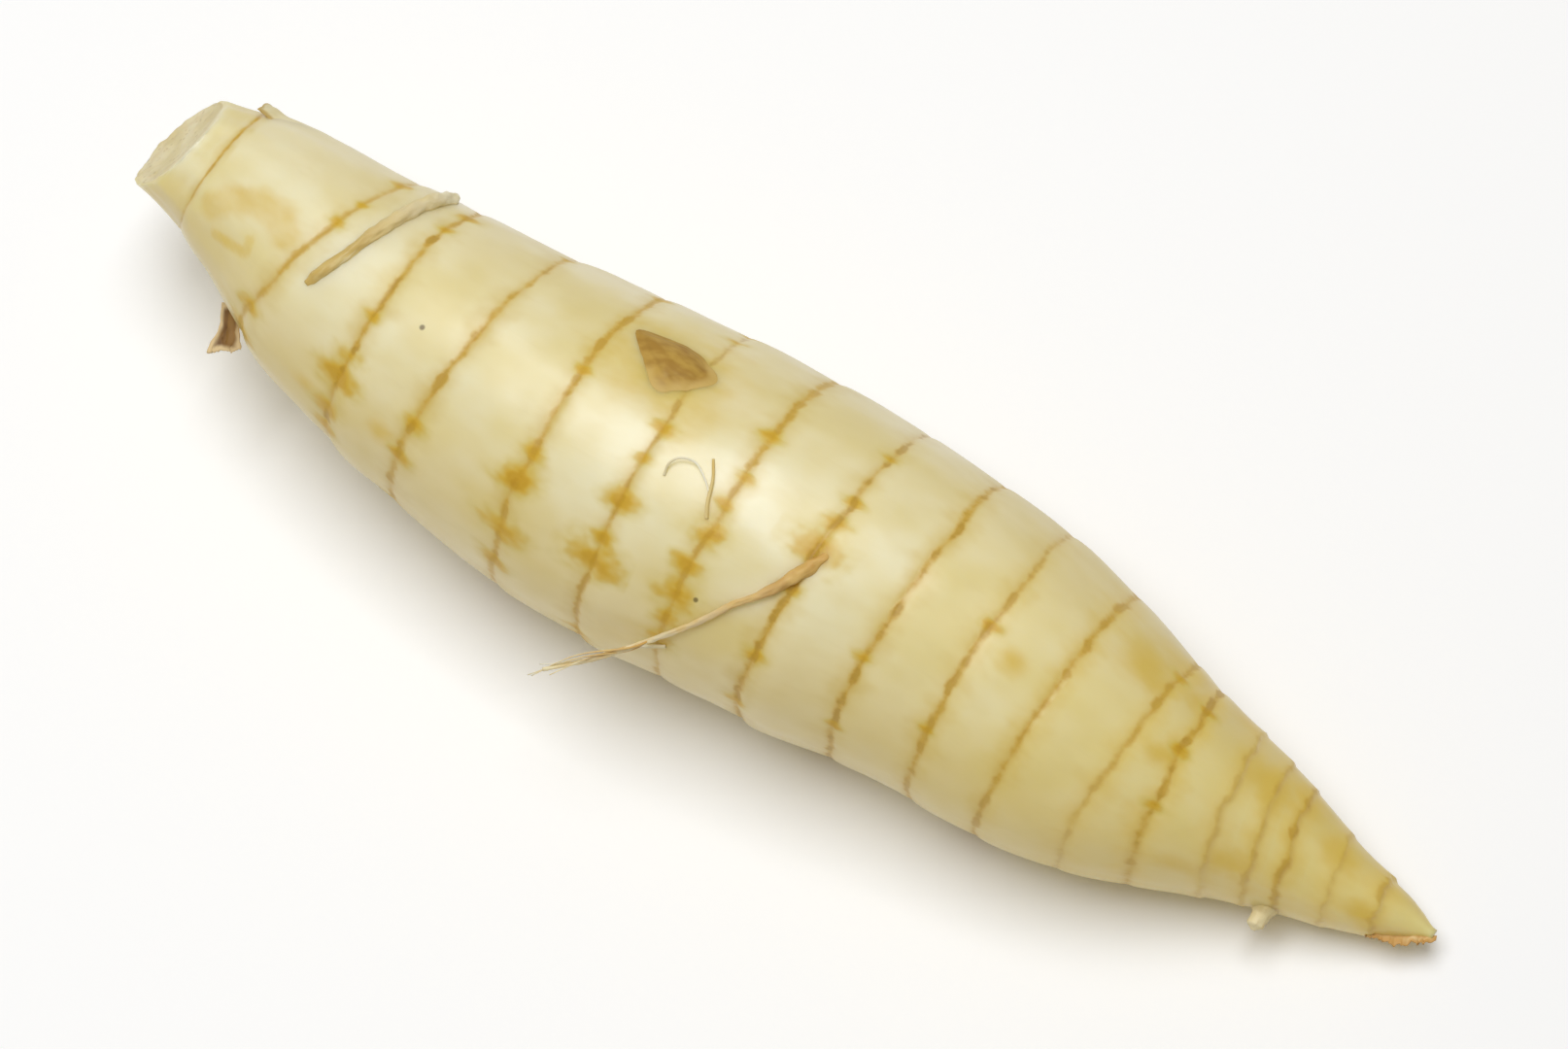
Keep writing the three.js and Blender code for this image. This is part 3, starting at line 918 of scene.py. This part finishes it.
def round_bud(along, turn, index):
    """A round dormant bud: a low dome of three overlapping scales, in a shallow collar of skin."""
    wide = 5.3 + 0.4 * math.sin(5.1 * index)
    sides = 48
    rows = bud_rows(26)
    bm, places, growth_layer, edge_layer = grid(len(rows) - 1, sides)
    for vertex, (row, column) in places.items():
        share, on_base = rows[row]
        angle = 2 * math.pi * column / sides
        x, y = math.cos(angle), math.sin(angle)
        stray = 0.16 * math.sin(angle + index) + 0.12 * wander(3 * x, 3 * y, index)
        scales = (share * 3 + stray * min(1.0, 4 * share)) % 1.0
        dome = 1.25 * math.sqrt(max(0.0, 1 - (0.97 * share) ** 2)) - 0.25
        height = dome + 0.16 * (1 - scales) * (1 - 0.6 * share) - 0.3 * step_between(0.85, 1.0, share)
        if on_base:
            height = BUD_BASE
        reach = wide / 2 * share * (1 + 0.12 * wander(1.3 * x, 1.3 * y, 4.3 * index))
        point_lean = 0.35 * (1 - share)
        vertex[growth_layer] = (reach * x, reach * y, 0.0)
        vertex[edge_layer] = step_between(0.25, 0.0, scales) - 1.5 * step_between(0.74, 0.96, share)
        vertex.co = (reach * x + point_lean, reach * y, height)
    close_up(bm)
    laid(bm, along, turn)
    finished(bm, f"bud_{index}", [f"round_bud_{index}"], "bud", ROUND_BUD_SCALES)


# The paths of the roots: along, turn and height
ROOT_STUB = [(32.6, 30, 0.1), (32.2, 44, 0.35), (31.6, 58, 0.3), (31.2, 70, 0.15), (30.6, 84, 0.0),
             (30.3, 96, -0.1), (29.7, 107, -0.1), (29.3, 117, -0.3)]
LONG_ROOT = [(95.4, 101, -0.9), (95.0, 105, -0.2), (94.0, 112, 0.25), (92.6, 120, 0.35), (91.2, 126, 0.6),
             (89.4, 132, 0.4), (87.0, 142, 0.45), (84.6, 151, 0.5), (82.4, 159, 0.8), (80.5, 164, 1.8),
             (77.2, 171, 3.7), (72.7, 178, 6.6)]
BRANCH = [(84, 161, 0.1), (81, 168, 0.4), (78, 175, 1.6), (74.5, 182, 3.4), (71, 188, 5.2)]
CURLED_HAIR = [(75.7, 105, 0.0), (75.6, 101, 0.7), (76.4, 98, 0.9), (78, 97, 0.6), (79.7, 100, 0.35),
               (80.8, 103, 0.15)]
STRAIGHT_HAIR = [(79.3, 93, 0.15), (80.5, 99, 0.35), (81.3, 106, 0.3), (82.1, 111, 0.15)]
YOUNG_ROOT = [(151.6, 188, -0.6), (151.6, 188, 0.2), (151.65, 188, 1.0), (151.7, 188, 1.9),
              (151.8, 188, 2.7)]


def on_path(places):
    """The points of a root's path."""
    return [on_skin(*place) for place in places]


def broken_root():
    """A thick straw-coloured root end that lies across the second internode, broken off square."""
    def width(share):
        return 1.75 - 0.35 * step_between(0.35, 0.7, share) - 0.4 * step_between(0.93, 1.0, share)

    bm = rod(on_path(ROOT_STUB), width, 150, 24, 0.26)
    finished(bm, "broken_root", ["root_stub"], "root", STRAW_BARK)


def long_rootlet():
    """The long root: swollen where it leaves the ring, then thinner, and split into strands at its end."""
    def width(share):
        swollen = 0.7 * step_between(0.0, 0.1, share) - 0.75 * step_between(0.1, 0.3, share)
        return 0.9 + swollen - 0.35 * share

    strands = []
    draw = random.Random(12)
    for _ in range(3):
        places = [(along + draw.uniform(-0.8, 0.8) * i, turn + draw.uniform(-2, 2) * i, height + 0.25 * i)
                  for i, (along, turn, height) in enumerate(LONG_ROOT[8:12])]
        strands.append(rod(on_path(places), lambda share: 0.26 - 0.14 * share, 20, 8, 0.1))
    bm = merged(rod(on_path(LONG_ROOT), width, 200, 20, 0.34), *strands)
    finished(bm, "long_rootlet", ["long_root"], "root", LONG_BARK)


def fine_root(name, node, places, base, end, bark):
    """A fine root of nearly even thickness."""
    bm = rod(on_path(places), lambda share: base + (end - base) * share, 60, 10, 0.1)
    finished(bm, name, [node], "root", bark)


def young_root():
    """The short pale root beside the point: a collar at its base, and a blunt end."""
    def width(share):
        return 3.3 - 1.2 * step_between(0, 0.4, share) - 1.5 * step_between(0.78, 1.0, share)

    bm = rod(on_path(YOUNG_ROOT), width, 40, 24, 0.16)
    finished(bm, "young_root", ["root_nub"], "root", NUB_BARK)


FIBRES_PER_MM = 0.12  # tried round a ring, and kept where its line is strong
SHORTEST_FIBRE = 0.25


def scar_fringe():
    """The fibres that torn scale leaves left on the rings: short and tapering, lying close to the skin."""
    draw = random.Random(27)
    bm = bmesh.new()
    growth_layer = bm.verts.layers.float_vector.new("growth")
    edge_layer = bm.verts.layers.float.new("edge")
    for index, ring in enumerate(RINGS):
        for _ in range(int(2 * math.pi * RADIUS(ring) * FIBRES_PER_MM)):
            turn = draw.uniform(0, 360)
            strength = ring_strength(index, turn)
            long = draw.uniform(SHORTEST_FIBRE, 0.7) * min(1.0, strength)
            wide = draw.uniform(0.16, 0.34)
            towards = draw.choice((1, 1, -1))
            skew = draw.uniform(-0.5, 0.5)
            if draw.random() > strength or long < SHORTEST_FIBRE:
                continue
            made = bmesh.ops.create_cone(bm, cap_ends=True, segments=5, radius1=wide / 2, radius2=0.02,
                                         depth=long)
            along = ring + ring_path(index, turn)
            per_degree = math.radians(RADIUS(along))
            for vertex in made["verts"]:
                x, y, z = vertex.co
                out = z / long + 0.5
                vertex[growth_layer] = (z, x, 0.0)
                vertex[edge_layer] = 1 - out
                aside = (x + skew * out * long) / per_degree
                height = -0.42 + 0.5 * y + 0.38 * out
                vertex.co = on_skin(along + towards * out * long, turn + aside, height)
    # finished() turns the faces outwards too, but one time over them misses a fibre
    bmesh.ops.recalc_face_normals(bm, faces=bm.faces)
    finished(bm, "scar_fringe", [], "dry_scale", FRINGE)


fleshy_stem()
neck_sheath()
torn_flake()
frayed_tip()
flat_bud()
for number, bud_place in enumerate(ROUND_BUDS, 1):
    round_bud(*bud_place, number)
young_root()
broken_root()
long_rootlet()
fine_root("rootlet_branch", "long_root_branch", BRANCH, 0.42, 0.18, HAIR_BARK)
fine_root("curled_hair", "hair_root_1", CURLED_HAIR, 0.3, 0.2, HAIR_BARK)
fine_root("straight_hair", "hair_root_2", STRAIGHT_HAIR, 0.3, 0.42, TAN_HAIR_BARK)
scar_fringe()


# ------------------------------------------------------------------------------------------------- stage


# The table and the surroundings are brighter where they are seen than in the light they give the object
TABLE_SEEN = (1.09, 1.095, 1.1, 1)
TABLE_LIGHT = (0.86, 0.83, 0.77, 1)
TABLE_HALF = 2.5
ROOM_SEEN = (1, 1, 1, 1)
ROOM_LIGHT = (1.0, 0.92, 0.76, 1)
ROOM_GLOW = 0.255
DAYLIGHT = (0.98, 1.0, 1.045)

# The camera: the middle of its view, where it stands as seen from there, and its lens in mm
MIDDLE = Vector((0.0009, 0.0056, 0.0194))
AZIMUTH = math.radians(33.9)
ELEVATION = math.radians(69)
DISTANCE = 0.56
LENS = 115.0


def pale_table():
    """A matt white laminate table top, which shows white and still takes the object's shadow."""
    material, tree = new_material("white_table_laminate")
    ray = add(tree, "LightPath", ()).node.outputs
    seen = add(tree, "Math", (ray["Is Camera Ray"], ray["Is Glossy Ray"]), operation="MAXIMUM")
    surface = add(tree, "BsdfDiffuse", (layered(tree, TABLE_LIGHT, ((seen, TABLE_SEEN),)),))
    add(tree, "OutputMaterial", {"Surface": surface})
    bm = bmesh.new()
    bmesh.ops.create_grid(bm, x_segments=1, y_segments=1, size=TABLE_HALF)
    mesh = bpy.data.meshes.new("table_top")
    bm.to_mesh(mesh)
    bm.free()
    mesh.materials.append(material)
    table = bpy.data.objects.new("table_top", mesh)
    bpy.context.scene.collection.objects.link(table)


def soft_room():
    """White surroundings, which light the object evenly at less than their seen brightness."""
    world = bpy.data.worlds.new("soft_room")
    world.use_nodes = True
    tree = world.node_tree
    tree.nodes.clear()
    seen = add(tree, "LightPath", (), "Is Camera Ray")
    strength = add(tree, "MapRange", (seen, 0, 1, ROOM_GLOW, 1))
    glow = add(tree, "Background", (layered(tree, ROOM_LIGHT, ((seen, ROOM_SEEN),)), strength))
    add(tree, "OutputWorld", {"Surface": glow})
    bpy.context.scene.world = world


def softbox(name, place, long, wide, power):
    """A rectangular lamp that faces the middle of the object."""
    lamp = bpy.data.lights.new(name, "AREA")
    lamp.shape = "RECTANGLE"
    lamp.size = long
    lamp.size_y = wide
    lamp.energy = power
    lamp.color = DAYLIGHT
    holder = bpy.data.objects.new(name, lamp)
    holder.location = place
    holder.rotation_euler = (Vector(place) - MIDDLE).to_track_quat("Z", "Y").to_euler()
    bpy.context.scene.collection.objects.link(holder)


pale_table()
soft_room()
softbox("overhead_softbox", (-0.14, 0.0, 0.98), 0.75, 0.55, 7.2)

camera = bpy.data.objects.new("camera", bpy.data.cameras.new("camera"))
backwards = Vector((
    math.sin(AZIMUTH) * math.cos(ELEVATION),
    -math.cos(AZIMUTH) * math.cos(ELEVATION),
    math.sin(ELEVATION),
))
camera.location = MIDDLE + backwards * DISTANCE
camera.rotation_euler = backwards.to_track_quat("Z", "Y").to_euler()
camera.data.lens = LENS
camera.data.clip_start = 0.01
bpy.context.scene.collection.objects.link(camera)
bpy.context.scene.camera = camera
bpy.context.scene.view_settings.view_transform = "Standard"
